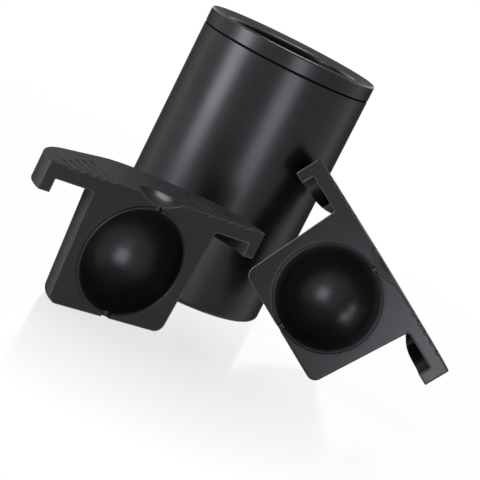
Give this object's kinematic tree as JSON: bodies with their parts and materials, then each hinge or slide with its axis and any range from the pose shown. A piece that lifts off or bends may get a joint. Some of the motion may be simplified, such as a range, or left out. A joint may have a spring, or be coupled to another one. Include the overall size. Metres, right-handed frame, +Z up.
{
  "type": "ice ball mold",
  "caption": "Split silicone mold for a large clear ice ball, with a flange and grip ears, beside the insulated round canister that it hangs in while freezing.",
  "frame": {"origin": "middle of the canister's base, on the surface that everything stands on", "axes": "+Z up along the canister's axis, -Y towards the viewer of the picture, +X to that viewer's right"},
  "size_m": [0.2486, 0.2518, 0.16],
  "materials": {
    "shell": "satin",
    "gasket": "matte",
    "cup": "satin",
    "foam": "matte",
    "silicone": "matte"
  },
  "bodies": {
    "canister": {"outer_shell": "shell", "rim_gasket": "gasket", "rim_collar": "shell", "inner_cup": "cup", "foam_sleeve": "foam", "foam_disc": "foam"},
    "standing_half": {"mold_half_standing": "silicone"},
    "leaning_half": {"mold_half_leaning": "silicone"}
  },
  "joints": [
    {"name": "standing_half_lift", "type": "slide", "parent": "canister", "child": "standing_half", "axis": [0, 0, 1], "range_m": [0, 0.17]},
    {"name": "leaning_half_lift", "type": "slide", "parent": "canister", "child": "leaning_half", "axis": [0, 0, 1], "range_m": [0, 0.17]}
  ]
}
